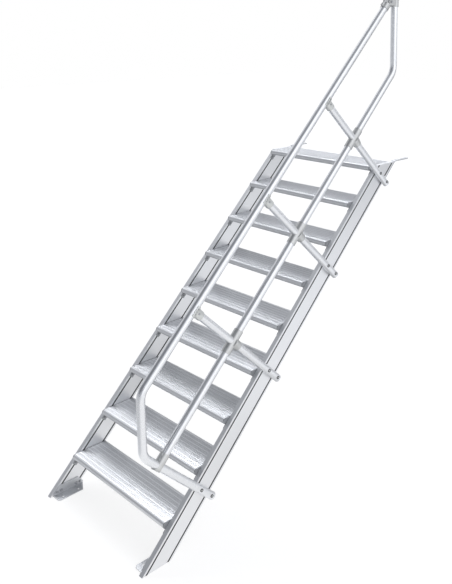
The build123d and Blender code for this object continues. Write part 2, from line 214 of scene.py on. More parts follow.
class FinishSettings(bpy.types.PropertyGroup):
    """Colours and roughnesses of the stair's metals and plastic"""

    stringer_colour: bpy.props.FloatVectorProperty(
        name="Stringer colour",
        description="Colour of the drawn stringer extrusions",
        subtype="COLOR",
        size=3,
        min=0,
        max=1,
        default=(0.87, 0.875, 0.89),
    )
    tread_colour: bpy.props.FloatVectorProperty(
        name="Tread colour",
        description="Colour of the ribbed tread extrusions",
        subtype="COLOR",
        size=3,
        min=0,
        max=1,
        default=(0.82, 0.83, 0.85),
    )
    tube_colour: bpy.props.FloatVectorProperty(
        name="Tube colour",
        description="Colour of the guard tubes",
        subtype="COLOR",
        size=3,
        min=0,
        max=1,
        default=(0.85, 0.86, 0.88),
    )
    casting_colour: bpy.props.FloatVectorProperty(
        name="Casting colour",
        description="Colour of the cast tube fittings",
        subtype="COLOR",
        size=3,
        min=0,
        max=1,
        default=(0.64, 0.645, 0.64),
    )
    bracket_colour: bpy.props.FloatVectorProperty(
        name="Bracket colour",
        description="Colour of the cut and bent plates",
        subtype="COLOR",
        size=3,
        min=0,
        max=1,
        default=(0.66, 0.67, 0.69),
    )
    # Painted shade: the end plates' dark grey stands in for the shade on the treads' nose ends
    end_plate_colour: bpy.props.FloatVectorProperty(
        name="End plate colour",
        description="Colour of the plates on the ends of the treads",
        subtype="COLOR",
        size=3,
        min=0,
        max=1,
        default=(0.40, 0.41, 0.425),
    )
    fastener_colour: bpy.props.FloatVectorProperty(
        name="Fastener colour",
        description="Colour of the zinc plated screws and bolts",
        subtype="COLOR",
        size=3,
        min=0,
        max=1,
        default=(0.12, 0.12, 0.13),
    )
    plug_colour: bpy.props.FloatVectorProperty(
        name="Plug colour",
        description="Colour of the moulded tube plug",
        subtype="COLOR",
        size=3,
        min=0,
        max=1,
        default=(0.035, 0.035, 0.04),
    )
    metal_roughness: bpy.props.FloatProperty(
        name="Metal roughness",
        description="Roughness of the drawn aluminium",
        subtype="FACTOR",
        min=0.05,
        max=1,
        default=0.36,
    )


class FastenerSettings(bpy.types.PropertyGroup):
    """Sizes of the screws and bolts"""

    cap_screw_diameter: bpy.props.FloatProperty(
        name="Cap screw diameter",
        description="Head diameter of the screws in the tread tabs and the tube feet",
        unit="LENGTH",
        default=0.010,
    )
    cap_screw_height: bpy.props.FloatProperty(
        name="Cap screw height",
        description="Head height of the screws in the tread tabs and the tube feet",
        unit="LENGTH",
        default=0.0062,
    )
    tab_washer_diameter: bpy.props.FloatProperty(
        name="Tab washer diameter",
        description="Diameter of the washers under the tread tabs' screws",
        unit="LENGTH",
        default=0.0125,
    )
    foot_washer_diameter: bpy.props.FloatProperty(
        name="Foot washer diameter",
        description="Diameter of the moulded washers on the tube feet",
        unit="LENGTH",
        default=0.0185,
    )
    foot_washer_rise: bpy.props.FloatProperty(
        name="Foot washer rise",
        description="Height of the moulded washers over the tube",
        unit="LENGTH",
        default=0.0022,
    )
    washer_thickness: bpy.props.FloatProperty(
        name="Washer thickness",
        description="Thickness of the steel washers",
        unit="LENGTH",
        default=0.0016,
    )
    hex_across_flats: bpy.props.FloatProperty(
        name="Hexagon width",
        description="Width across the flats of the bracket and lug bolts",
        unit="LENGTH",
        default=0.013,
    )
    hex_height: bpy.props.FloatProperty(
        name="Hexagon height",
        description="Head height of the bracket and lug bolts",
        unit="LENGTH",
        default=0.0053,
    )
    hex_washer_diameter: bpy.props.FloatProperty(
        name="Bolt washer diameter",
        description="Diameter of the washers under the bracket and lug bolts",
        unit="LENGTH",
        default=0.017,
    )
    set_screw_diameter: bpy.props.FloatProperty(
        name="Set screw diameter",
        description="Diameter of the set screws in the sleeves",
        unit="LENGTH",
        default=0.0066,
    )


class ClampSettings(bpy.types.PropertyGroup):
    """Sizes of the clamps that hold the handrail on the struts"""

    reach: bpy.props.FloatProperty(
        name="Reach",
        description="Distance from the handrail's axis to the mouth of the strut's socket",
        unit="LENGTH",
        default=0.061,
    )
    length: bpy.props.FloatProperty(
        name="Length",
        description="Length of the saddle along the handrail",
        unit="LENGTH",
        default=0.062,
    )
    lip: bpy.props.FloatProperty(
        name="Lip",
        description="How far the saddle's fingers reach past the handrail's axis",
        unit="LENGTH",
        default=0.008,
    )
    neck: bpy.props.FloatProperty(
        name="Neck",
        description="Distance from the handrail's axis at which the socket meets the saddle",
        unit="LENGTH",
        default=0.016,
    )
    bore_gap: bpy.props.FloatProperty(
        name="Bore gap",
        description="Clearance round the tubes",
        unit="LENGTH",
        default=0.0002,
    )
    finger_gap: bpy.props.FloatProperty(
        name="Finger gap",
        description="Width of the gaps between the saddle's fingers",
        unit="LENGTH",
        default=0.0055,
    )
    finger_pitch: bpy.props.FloatProperty(
        name="Finger pitch",
        description="Distance from one finger gap to the next",
        unit="LENGTH",
        default=0.015,
    )


class StageSettings(bpy.types.PropertyGroup):
    """Camera, floor and studio light"""

    camera_place: bpy.props.FloatVectorProperty(
        name="Camera place",
        description="Where the camera stands",
        subtype="TRANSLATION",
        unit="LENGTH",
        size=3,
        default=(3.8970, -1.9552, 2.7946),
    )
    camera_azimuth: bpy.props.FloatProperty(
        name="Camera azimuth",
        description="Turn of the camera about the vertical, anticlockwise from looking along Y",
        subtype="ANGLE",
        default=radians(42.682),
    )
    camera_tilt: bpy.props.FloatProperty(
        name="Camera tilt",
        description="How far the camera looks down",
        subtype="ANGLE",
        default=radians(9.598),
    )
    camera_lens: bpy.props.FloatProperty(
        name="Camera lens",
        description="Focal length on a 36 mm wide sensor",
        subtype="DISTANCE_CAMERA",
        default=58.75,
    )
    camera_shift_x: bpy.props.FloatProperty(
        name="Camera shift X",
        description="Sideways shift that frames the stair, in picture widths",
        default=-0.2168,
    )
    camera_shift_y: bpy.props.FloatProperty(
        name="Camera shift Y",
        description="Vertical shift that frames the stair, in picture widths",
        default=-0.3097,
    )
    floor_size: bpy.props.FloatProperty(
        name="Floor size",
        description="Width of the pale floor",
        unit="LENGTH",
        default=60.0,
    )
    key_power: bpy.props.FloatProperty(
        name="Key light power",
        description="Power of the large soft light above and behind the stair",
        unit="POWER",
        default=10.0,
    )


class Value:
    """Output of a shader node, on which arithmetic adds Math nodes."""

    def __init__(self, shader, socket):
        self.shader = shader
        self.socket = socket

    def math(self, operation, *values):
        return self.shader.node(
            "ShaderNodeMath", {"operation": operation}, *([self] + list(values))
        )

    def __add__(self, other):
        return self.math("ADD", other)

    def __mul__(self, other):
        return self.math("MULTIPLY", other)

    def __sub__(self, other):
        return self.math("SUBTRACT", other)

    def __rsub__(self, other):
        return self.shader.node("ShaderNodeMath", {"operation": "SUBTRACT"}, other, self)

    def __truediv__(self, other):
        return self.math("DIVIDE", other)

    def clamp(self):
        return self.math("MINIMUM", 1.0).math("MAXIMUM", 0.0)


class Shader:
    """Node tree of one material or world, built from values and settings."""

    def __init__(self, tree):
        self.tree = tree
        self.tree.nodes.clear()

    def node(self, kind, settings=None, *values, out=0, **named):
        node = self.tree.nodes.new(kind)
        for name, setting in (settings or {}).items():
            setattr(node, name, setting)
        sockets = dict(enumerate(values))
        sockets.update({name.replace("_", " "): value for name, value in named.items()})
        for key, value in sockets.items():
            self.feed(node.inputs[key], value)
        return Value(self, node.outputs[out]) if len(node.outputs) else node

    def feed(self, socket, value):
        if isinstance(value, Value):
            self.tree.links.new(value.socket, socket)
        else:
            socket.default_value = value

    def ramp(self, factor, stops):
        node = self.tree.nodes.new("ShaderNodeValToRGB")
        elements = node.color_ramp.elements
        while len(elements) < len(stops):
            elements.new(0.5)
        for element, (place, colour) in zip(elements, stops):
            element.position = place
            element.color = colour
        self.feed(node.inputs[0], factor)
        return Value(self, node.outputs[0])

    def level(self, factor, steps):
        """Grey levels of the studio's light, where a level of one is pure white."""
        stops = [(place, WHITE if level == 1.0 else tone(COOL, level)) for place, level in steps]
        return self.ramp(factor, stops)

    def split(self, vector):
        node = self.tree.nodes.new("ShaderNodeSeparateXYZ")
        self.feed(node.inputs[0], vector)
        return [Value(self, output) for output in node.outputs]

    def join(self, x, y, z):
        return self.node("ShaderNodeCombineXYZ", None, x, y, z)

    def place(self):
        """Object coordinates, which are the stair's own frame in metres."""
        return self.node("ShaderNodeTexCoord", None, out="Object")

    def stretched(self, x, y, z, scales, detail=3.0, roughness=0.6):
        """Noise whose grain has its own scale on each of three directions."""
        vector = self.join(x * scales[0], y * scales[1], z * scales[2])
        return self.noise(vector, 1.0, detail, roughness)

    def noise(self, vector, scale, detail=2.0, roughness=0.5):
        return self.node(
            "ShaderNodeTexNoise",
            None,
            Vector=vector,
            Scale=scale,
            Detail=detail,
            Roughness=roughness,
        )

    def mix(self, factor, first, second, blend="MIX"):
        node = self.tree.nodes.new("ShaderNodeMix")
        node.data_type = "RGBA"
        node.blend_type = blend
        self.feed(node.inputs["Factor"], factor)
        self.feed(node.inputs[6], first)
        self.feed(node.inputs[7], second)
        return Value(self, node.outputs[2])

    def bump(self, height, strength, distance):
        return self.node(
            "ShaderNodeBump", None, Strength=strength, Distance=distance, Height=height
        )


def new_material(name):
    material = bpy.data.materials.new(name)
    material.use_nodes = True
    return material, Shader(material.node_tree)


def surface(shader, **sockets):
    """Principled surface whose sockets are given by name with underscores."""
    result = shader.node("ShaderNodeBsdfPrincipled", None, **sockets)
    shader.node("ShaderNodeOutputMaterial", None, Surface=result)


def tone(colour, factor):
    return (colour[0] * factor, colour[1] * factor, colour[2] * factor, 1.0)


def drawn_aluminium(name, colour, roughness, axis, shade_grooves=False, shade_hollows=False):
    """Extruded or drawn metal with faint die lines along one direction, and, where asked, painted
    shade in the stringers' grooves and inside the tubes' feet.
    """
    material, shader = new_material(name)
    x, y, z = shader.split(shader.place())
    along = {"x": x, "slope": y * cos(SLOPE) + z * sin(SLOPE)}[axis]
    across = {"x": y * 1.0, "slope": y * sin(SLOPE) - z * cos(SLOPE)}[axis]
    third = {"x": z * 1.0, "slope": x * 1.0}[axis]
    lines = shader.stretched(along, across, third, (0.6, 260.0, 260.0))
    blotch = shader.stretched(along, across, third, (1.5, 9.0, 9.0), roughness=0.55)
    shade = shader.mix(blotch, tone(colour, 0.97), tone(colour, 1.03))
    shade = shader.mix(lines * 0.3, shade, tone(colour, 0.93))
    depth = (y - FRONT_Y) * sin(SLOPE) - z * cos(SLOPE)
    painted_shade = 0.0
    # Painted shade inside the tubes: near black on the inner wall at the leg's and struts' feet,
    # where only shade falls
    if shade_hollows:
        spacing = STRUT_STATIONS[0] - LEG_STATION
        pitch = (along - LEG_STATION) / spacing
        off_station = (pitch - (pitch + 0.5).math("FLOOR")) * spacing
        off_axis = shader.join(off_station, x - RAIL_X, 0.0)
        radius = shader.node("ShaderNodeVectorMath", {"operation": "LENGTH"}, off_axis, out=1)
        low_end = ((depth + HOLLOW_BELOW) * HOLLOW_SHARPNESS).clamp()
        painted_shade = (1.0 - (radius - (TUBE_RADIUS - TUBE_WALL)) / HOLLOW_SHADE_FADE).clamp() * low_end
        shade = shader.mix(painted_shade, shade, HOLLOW_PAINTED_SHADE)
    # Painted shade along the stringers' grooves: near black, wider than the grooves themselves,
    # standing in for the shade inside them
    if shade_grooves:
        from_middle = (depth - STRINGER_DEPTH / 2).math("ABSOLUTE")
        from_groove = (from_middle - GROOVE_STATION).math("ABSOLUTE")
        painted_shade = (1.0 - (from_groove - GROOVE_SHADE_HALF_WIDTH) / GROOVE_SHADE_FADE).clamp()
        shade = shader.mix(painted_shade, shade, GROOVE_PAINTED_SHADE)
    surface(
        shader,
        Base_Color=shade,
        Metallic=1.0 - painted_shade,
        Roughness=lines * 0.08 + blotch * 0.04 + painted_shade * 0.4 + (roughness - 0.06),
        Normal=shader.bump(lines, 0.08, 0.0003),
    )
    return material


def tread_finish(name, colour, roughness):
    """Die lines along the tread, paler on the lands as wear and painted sheen, and darker under the
    nose as painted shade.
    """
    material, shader = new_material(name)
    x, y, z = shader.split(shader.place())
    level = z / STEP_RISE
    depth = (level.math("CEIL") - level) * STEP_RISE
    # wear and painted sheen: the top 1.4 mm of each tread, its lands, paler and smoother
    wear_and_sheen = (1.0 - depth / WEAR_AND_SHEEN_DEPTH).clamp()
    # painted shade: the nose's lower front and the tread's underside, more than 11 mm under its
    # top, darkened to stand in for shade
    below = ((depth - NOSE_SHADE_DEPTH) / NOSE_SHADE_FADE).clamp()
    lines = shader.stretched(x, y, z, (0.8, 420.0, 420.0))
    blotch = shader.stretched(x, y, z, (3.0, 8.0, 8.0))
    shade = shader.mix(blotch, tone(colour, 0.93), tone(colour, 1.03))
    shade = shader.mix(wear_and_sheen * 0.8, shade, tone(colour, 1.16))
    shade = shader.mix(below, shade, tone(colour, 0.80))
    surface(
        shader,
        Base_Color=shade,
        Metallic=1.0,
        Roughness=lines * 0.12 + blotch * 0.06 - wear_and_sheen * 0.08 + roughness,
        Normal=shader.bump(lines, 0.2, 0.0004),
    )
    return material


def cast_metal(name, colour):
    """Tumbled casting, grainy and matt."""
    material, shader = new_material(name)
    place = shader.place()
    grain = shader.noise(place, 900.0, 4.0, 0.6)
    patch = shader.noise(place, 45.0, 3.0, 0.6)
    shade = shader.mix(patch, tone(colour, 0.84), tone(colour, 1.12))
    surface(
        shader,
        Base_Color=shade,
        Metallic=1.0,
        Roughness=grain * 0.12 + patch * 0.10 + 0.26,
        Normal=shader.bump(grain, 0.35, 0.0006),
    )
    return material


def cut_plate(name, colour, roughness):
    """Rolled plate with a faint rolling grain and small marks."""
    material, shader = new_material(name)
    place = shader.place()
    x, y, z = shader.split(place)
    grain = shader.stretched(x, y, z, (60.0, 500.0, 60.0), detail=4.0)
    patch = shader.noise(place, 30.0, 4.0, 0.6)
    shade = shader.mix(patch, tone(colour, 0.86), tone(colour, 1.10))
    surface(
        shader,
        Base_Color=shade,
        Metallic=1.0,
        Roughness=grain * 0.14 + patch * 0.10 + roughness,
        Normal=shader.bump(grain, 0.2, 0.0004),
    )
    return material


def zinc_steel(name, colour):
    material, shader = new_material(name)
    place = shader.place()
    patch = shader.noise(place, 400.0, 3.0, 0.6)
    shade = shader.mix(patch, tone(colour, 0.8), tone(colour, 1.2))
    surface(shader, Base_Color=shade, Metallic=1.0, Roughness=patch * 0.2 + 0.28)
    return material


def moulded_plastic(name, colour):
    material, shader = new_material(name)
    grain = shader.noise(shader.place(), 1200.0, 3.0, 0.6)
    shade = shader.mix(grain, tone(colour, 0.85), tone(colour, 1.3))
    surface(
        shader,
        Base_Color=shade,
        Metallic=0.0,
        Roughness=grain * 0.15 + 0.42,
        Normal=shader.bump(grain, 0.25, 0.0003),
    )
    return material


def dress(names, material):
    """Gives CAD nodes their finish."""
    for name in names:
        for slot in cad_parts[name].material_slots:
            slot.material = material


def nodes_named(*starts):
    return [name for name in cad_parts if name.startswith(starts)]


def only(piece):
    """Selects one object and makes it active."""
    bpy.ops.object.select_all(action="DESELECT")
    piece.select_set(True)
    bpy.context.view_layer.objects.active = piece


def select_points(piece, wanted):
    """Selects, in edit mode, the points that pass the test, with the edges and faces between."""
    mesh = bmesh.from_edit_mesh(piece.data)
    for vertex in mesh.verts:
        vertex.select = wanted(vertex.co)
    mesh.select_flush_mode()
    bmesh.update_edit_mesh(piece.data)


def extrude(distance):
    """Draws the selected edges or faces out along Z."""
    bpy.ops.mesh.extrude_region_move(TRANSFORM_OT_translate={"value": (0, 0, distance)})


def socket_head(radius, height, socket_radius, socket_depth):
    """Round screw head standing on the XY plane, with a hexagon socket in its top."""
    bpy.ops.object.select_all(action="DESELECT")
    bpy.ops.mesh.primitive_circle_add(vertices=HEAD_SIDES, radius=radius)
    head = bpy.context.active_object
    bpy.ops.object.mode_set(mode="EDIT")
    bpy.ops.mesh.primitive_circle_add(vertices=HEXAGON_SIDES, radius=socket_radius)
    bpy.ops.mesh.select_all(action="SELECT")
    bpy.ops.mesh.bridge_edge_loops()
    tolerance = radius * POINT_TOLERANCE
    select_points(head, lambda place: place.xy.length > radius - tolerance)
    extrude(-height)
    bpy.ops.mesh.edge_face_add()
    select_points(head, lambda place: place.xy.length < socket_radius + tolerance)
    extrude(-socket_depth)
    bpy.ops.mesh.edge_face_add()
    bpy.ops.mesh.select_all(action="SELECT")
    bpy.ops.transform.translate(value=(0, 0, height))
    select_points(
        head,
        lambda place: place.xy.length > radius - tolerance and place.z > height - tolerance,
    )
    bpy.ops.mesh.bevel(offset=radius * HEAD_ROUNDING, segments=2)
    bpy.ops.mesh.select_all(action="SELECT")
    bpy.ops.mesh.normals_make_consistent(inside=False)
    bpy.ops.object.mode_set(mode="OBJECT")
    return head


def add_washer(piece, radius, thickness):
    """Puts a washer under a head, which is lifted by the washer's thickness."""
    only(piece)
    bpy.ops.object.mode_set(mode="EDIT")
    bpy.ops.mesh.select_all(action="SELECT")
    bpy.ops.transform.translate(value=(0, 0, thickness))
    bpy.ops.mesh.select_all(action="DESELECT")
    bpy.ops.mesh.primitive_cylinder_add(
        vertices=WASHER_SIDES, radius=radius, depth=thickness, location=(0, 0, thickness / 2)
    )
    bpy.ops.mesh.bevel(offset=thickness * WASHER_CHAMFER, segments=1)
    bpy.ops.object.mode_set(mode="OBJECT")


def hexagon_head(across_flats, height):
    """Hexagon bolt head standing on the XY plane, chamfered round its top."""
    bpy.ops.object.select_all(action="DESELECT")
    bpy.ops.mesh.primitive_cylinder_add(
        vertices=HEXAGON_SIDES,
        radius=across_flats / sqrt(3),
        depth=height,
        location=(0, 0, height / 2),
    )
    head = bpy.context.active_object
    bpy.ops.object.transform_apply(location=True)
    bpy.ops.object.mode_set(mode="EDIT")
    select_points(head, lambda place: place.z > height * (1 - POINT_TOLERANCE))
    bpy.ops.mesh.bevel(offset=across_flats * HEXAGON_CHAMFER, segments=2)
    bpy.ops.mesh.select_all(action="SELECT")
    bpy.ops.mesh.normals_make_consistent(inside=False)
    bpy.ops.object.mode_set(mode="OBJECT")
    return head


def rod(radius, length, centre, axis):
    """Cylinder with its place in its mesh, to build on or to cut with."""
    bpy.ops.object.select_all(action="DESELECT")
    bpy.ops.mesh.primitive_cylinder_add(
        vertices=ROD_SIDES,
        radius=radius,
        depth=length,
        location=centre,
        rotation=axis.to_track_quat("Z", "Y").to_euler(),
    )
    piece = bpy.context.active_object
    bpy.ops.object.transform_apply(location=True, rotation=True, scale=True)
    return piece


def combine(piece, other, operation):
    """Joins or cuts a piece with another one, which is used up."""
    only(piece)
    modifier = piece.modifiers.new("combine", "BOOLEAN")
    modifier.operation = operation
    modifier.solver = "EXACT"
    modifier.object = other
    bpy.ops.object.modifier_apply(modifier=modifier.name)
    bpy.data.objects.remove(other)


def clamp_body(sizes):
    """Saddle with fingers round X, drawn out along Z into a socket for the strut."""
    rail = Vector((1, 0, 0))
    side = Vector((0, 1, 0))
    strut = Vector((0, 0, 1))
    bore = TUBE_RADIUS + sizes.bore_gap
    middle_of_socket = strut * (sizes.reach + sizes.neck) / 2
    body = rod(SLEEVE_RADIUS, sizes.reach - sizes.neck, middle_of_socket, strut)
    bpy.ops.object.mode_set(mode="EDIT")
    select_points(body, lambda place: place.z < sizes.neck * (1 + POINT_TOLERANCE))
    widening = sizes.length * NECK_LENGTH / SLEEVE_RADIUS
    bpy.ops.transform.resize(
        value=(widening, NECK_SQUEEZE, 1.0), center_override=strut * sizes.neck
    )
    bpy.ops.object.mode_set(mode="OBJECT")
    saddle = rod(SLEEVE_RADIUS, sizes.length, Vector(), rail)
    bpy.ops.object.mode_set(mode="EDIT")
    bpy.ops.mesh.select_all(action="SELECT")
    bpy.ops.mesh.bisect(
        plane_co=strut * -sizes.lip, plane_no=strut, use_fill=True, clear_inner=True
    )
    bpy.ops.object.mode_set(mode="OBJECT")
    combine(body, saddle, "UNION")
    combine(body, rod(bore, sizes.length * 2, Vector(), rail), "DIFFERENCE")
    socket = strut * (SLEEVE_RADIUS + sizes.reach / 2)
    combine(body, rod(bore, sizes.reach, socket, strut), "DIFFERENCE")
    for step in (-1, 0, 1):
        gap_middle = rail * sizes.finger_pitch * step + side * SLEEVE_RADIUS
        gap = rod(sizes.finger_gap / 2, sizes.lip * GAP_HEIGHT, gap_middle, strut)
        bpy.ops.object.mode_set(mode="EDIT")
        bpy.ops.mesh.select_all(action="SELECT")
        bpy.ops.transform.resize(value=(1.0, GAP_STRETCH, 1.0), center_override=gap_middle)
        bpy.ops.object.mode_set(mode="OBJECT")
        combine(body, gap, "DIFFERENCE")
    seat = strut * CLAMP_BOLT_DROP + side * (CLAMP_SEAT + SLEEVE_RADIUS / 2)
    combine(body, rod(CLAMP_BOLT_SEAT / 2, SLEEVE_RADIUS, seat, side), "DIFFERENCE")
    only(body)
    rounding = body.modifiers.new("rounding", "BEVEL")
    rounding.width = CLAMP_ROUNDING
    rounding.segments = 2
    rounding.limit_method = "ANGLE"
    rounding.angle_limit = SMOOTH_ANGLE
    bpy.ops.object.modifier_apply(modifier=rounding.name)
    return body


def set_out(model, name, places, material):
    """Copies a modelled fastener to each point, facing the way given there, as one piece."""
    copies = [model]
    for place in places[1:]:
        only(model)
        bpy.ops.object.duplicate(linked=False)
        copies.append(bpy.context.active_object)
    bpy.ops.object.select_all(action="DESELECT")
    for copy, (point, facing) in zip(copies, places):
        copy.location = point
        copy.rotation_euler = facing.to_track_quat("Z", "Y").to_euler()
        copy.select_set(True)
    bpy.context.view_layer.objects.active = model
    if len(copies) > 1:
        bpy.ops.object.join()
    bpy.ops.object.transform_apply(location=True, rotation=True, scale=True)
    bpy.ops.object.shade_smooth_by_angle(angle=SMOOTH_ANGLE)
    model.name = name
    model.data.materials.clear()
    model.data.materials.append(material)
    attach(model, BODY)
    return model


def fastener_material(context):
    """Zinc plated steel, which the fasteners share."""
    if FASTENER_FINISH not in bpy.data.materials:
        zinc_steel(FASTENER_FINISH, context.scene.stair_finish.fastener_colour)
    return bpy.data.materials[FASTENER_FINISH]


class STAIR_OT_tread_screws(bpy.types.Operator):
    """Add the cap screws that hold the treads' tabs to the stringers"""

    bl_idname = "stair.tread_screws"
    bl_label = "Tread screws"

    def execute(self, context):
        sizes = context.scene.stair_fasteners
        radius = sizes.cap_screw_diameter / 2
        screw = socket_head(
            radius, sizes.cap_screw_height, radius * SOCKET_SHARE, radius * TAB_SOCKET_DEPTH
        )
        add_washer(screw, sizes.tab_washer_diameter / 2, sizes.washer_thickness)
        places = []
        for tread in TREADS:
            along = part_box(tread)[1].z / sin(SLOPE) - TAB_SCREW
            for x, facing in (
                (INNER_LEFT + END_PLATE, RIGHT),
                (INNER_RIGHT - END_PLATE, LEFT),
            ):
                places.append((on_slope(x, along, GROOVE_INSET), facing))
        set_out(screw, "tread_screws", places, fastener_material(context))
        return {"FINISHED"}


def recessed_washer(radius, recess_radius, low, top):
    """Moulded washer between two heights, with a recess for a screw head on top."""
    washer = rod(radius, top - low, Vector((0, 0, (top + low) / 2)), Vector((0, 0, 1)))
    bpy.ops.object.mode_set(mode="EDIT")
    select_points(washer, lambda place: place.z > top * (1 - POINT_TOLERANCE))
    bpy.ops.mesh.inset(thickness=radius - recess_radius)
    extrude(RECESS_FLOOR - top)
    select_points(washer, lambda place: place.z > top * (1 - POINT_TOLERANCE))
    bpy.ops.mesh.bevel(offset=RECESS_ROUNDING, segments=2)
    bpy.ops.object.mode_set(mode="OBJECT")
    return washer


class STAIR_OT_foot_washers(bpy.types.Operator):
    """Add the moulded washers on the feet of the leg and the struts, black as painted shade for the
    shadow gap round each foot screw
    """

    bl_idname = "stair.foot_washers"
    bl_label = "Tube foot washers"

    def execute(self, context):
        sizes = context.scene.stair_fasteners
        radius = sizes.foot_washer_diameter / 2
        top = sizes.foot_washer_rise
        washer = recessed_washer(radius, radius * WASHER_RECESS, -WASHER_DEPTH, top)
        places = [(place, RIGHT) for place in foot_screw_places()]
        # painted shade: the washers take the black plug plastic to stand in for the shadow gap
        # round each screw
        plastic = bpy.data.materials["plug_plastic"]
        set_out(washer, "tube_foot_washers", places, plastic)
        return {"FINISHED"}


def foot_screw_places():
    """Points on the outer flank of the leg and the struts, two to each foot."""
    places = []
    for along in [LEG_STATION] + STRUT_STATIONS:
        for behind in (GROOVE_INSET, STRINGER_DEPTH - GROOVE_INSET):
            places.append(on_slope(RAIL_X + TUBE_RADIUS, along, behind))
    return places


class STAIR_OT_foot_screws(bpy.types.Operator):
    """Add the screw heads in the washers on the feet of the leg and the struts"""

    bl_idname = "stair.foot_screws"
    bl_label = "Tube foot screws"

    def execute(self, context):
        sizes = context.scene.stair_fasteners
        radius = sizes.cap_screw_diameter / 2
        screw = socket_head(
            radius, FOOT_SCREW_HEIGHT, radius * SOCKET_SHARE, FOOT_SCREW_HEIGHT * TAB_SOCKET_DEPTH
        )
        places = [(place + RIGHT * RECESS_FLOOR, RIGHT) for place in foot_screw_places()]
        bright = bpy.data.materials["cast_aluminium"]
        set_out(screw, "tube_foot_screws", places, bright)
        return {"FINISHED"}


class STAIR_OT_set_screws(bpy.types.Operator):
    """Add the set screws in the knee rail's sleeves and the tee"""

    bl_idname = "stair.set_screws"
    bl_label = "Set screws"

    def execute(self, context):
        radius = context.scene.stair_fasteners.set_screw_diameter / 2
        length = SLEEVE_RADIUS - TUBE_RADIUS - SET_SCREW_SINK
        screw = socket_head(
            radius, length, radius * SET_SOCKET_SHARE, length * SET_SOCKET_DEPTH
        )
        outward = RIGHT * cos(SET_SCREW_ANGLE) + BEHIND * sin(SET_SCREW_ANGLE)
        places = []
        stations = [LEG_STATION + TEE_SCREW]
        for along in STRUT_STATIONS:
            stations += [along - SET_SCREW_STATION, along + SET_SCREW_STATION]
        for along in stations:
            centre = on_slope(RAIL_X, along, KNEE_RAIL_PLACE)
            places.append((centre + outward * TUBE_RADIUS, outward))
        set_out(screw, "set_screws", places, fastener_material(context))
        return {"FINISHED"}


class STAIR_OT_handrail_clamps(bpy.types.Operator):
    """Add the clamps that stand below the handrail on the struts"""

    bl_idname = "stair.handrail_clamps"
    bl_label = "Handrail clamps"

    def execute(self, context):
        model = clamp_body(context.scene.stair_clamps)
        casting = bpy.data.materials["cast_aluminium"]
        model.data.materials.clear()
        model.data.materials.append(casting)
        turn = Matrix((UP_SLOPE, RIGHT, BEHIND)).transposed().to_euler()
        pieces = [model]
        for node in CLAMPS[1:]:
            only(model)
            bpy.ops.object.duplicate(linked=False)
            pieces.append(bpy.context.active_object)
        for piece, node, along in zip(pieces, CLAMPS, STRUT_STATIONS):
            only(piece)
            piece.name = node + "_body"
            piece.location = on_slope(RAIL_X, along, HANDRAIL_PLACE)
            piece.rotation_euler = turn
            bpy.ops.object.transform_apply(location=True, rotation=True, scale=True)
            bpy.ops.object.shade_smooth_by_angle(angle=SMOOTH_ANGLE)
            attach(piece, BODY)
            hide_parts(node)
        return {"FINISHED"}


class STAIR_OT_clamp_screws(bpy.types.Operator):
    """Add the screws sunk in the handrail clamps"""

    bl_idname = "stair.clamp_screws"
    bl_label = "Clamp screws"

    def execute(self, context):
        sizes = context.scene.stair_fasteners
        radius = sizes.cap_screw_diameter / 2
        screw = socket_head(
            radius, CLAMP_SCREW_HEIGHT, radius * SOCKET_SHARE, radius * CLAMP_SOCKET_DEPTH
        )
        places = []
        for along in STRUT_STATIONS:
            centre = on_slope(RAIL_X, along, HANDRAIL_PLACE + CLAMP_BOLT_DROP)
            places.append((centre + RIGHT * CLAMP_SEAT, RIGHT))
        set_out(screw, "clamp_screws", places, fastener_material(context))
        return {"FINISHED"}


class STAIR_OT_bracket_bolts(bpy.types.Operator):
    """Add the hexagon bolts of the foot brackets and the landing lugs"""

    bl_idname = "stair.bracket_bolts"
    bl_label = "Bracket bolts"

    def execute(self, context):
        sizes = context.scene.stair_fasteners
        bolt = hexagon_head(sizes.hex_across_flats, sizes.hex_height)
        add_washer(bolt, sizes.hex_washer_diameter / 2, sizes.washer_thickness)
        places = []
        for side, x, facing in (
            ("left", INNER_LEFT + BRACKET_PLATE, RIGHT),
            ("right", INNER_RIGHT - BRACKET_PLATE, LEFT),
        ):
            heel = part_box("foot_bracket_" + side)[0]
            for offset in FOOT_BOLTS:
                places.append((Vector((x, heel.y + offset, FOOT_BOLT_HEIGHT)), facing))
            lug = "landing_lug_" + side
            lug_back = STRINGER_DEPTH + LUG_THICKNESS
            lug_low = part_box(lug)[0].z / sin(SLOPE) + lug_back
            for offset in LUG_BOLTS:
                places.append((on_slope(middle(lug).x, lug_low + offset, lug_back), BEHIND))
        set_out(bolt, "bracket_bolts", places, fastener_material(context))
        return {"FINISHED"}


class STAIR_OT_finish_extrusions(bpy.types.Operator):
    """Give the stringers, treads and their end pieces their finishes"""

    bl_idname = "stair.finish_extrusions"
    bl_label = "Finish extrusions"

    def execute(self, context):
        finish = context.scene.stair_finish
        stringers = drawn_aluminium(
            "stringer_aluminium", finish.stringer_colour, finish.metal_roughness, "slope", True
        )
        dress(nodes_named("stringer_left", "stringer_right"), stringers)
        tread_roughness = finish.metal_roughness - TREAD_POLISH
        treads = tread_finish("tread_aluminium", finish.tread_colour, tread_roughness)
        dress(nodes_named("tread_", "stringer_cap"), treads)
        return {"FINISHED"}


class STAIR_OT_finish_tubes(bpy.types.Operator):
    """Give the guard tubes their finish"""

    bl_idname = "stair.finish_tubes"
    bl_label = "Finish tubes"

    def execute(self, context):
        finish = context.scene.stair_finish
        tube_roughness = finish.metal_roughness - TUBE_POLISH
        tubes = drawn_aluminium(
            "tube_aluminium", finish.tube_colour, tube_roughness, "slope", shade_hollows=True
        )
        dress(nodes_named("handrail", "knee_rail", "strut", "upper_strut"), tubes)
        return {"FINISHED"}


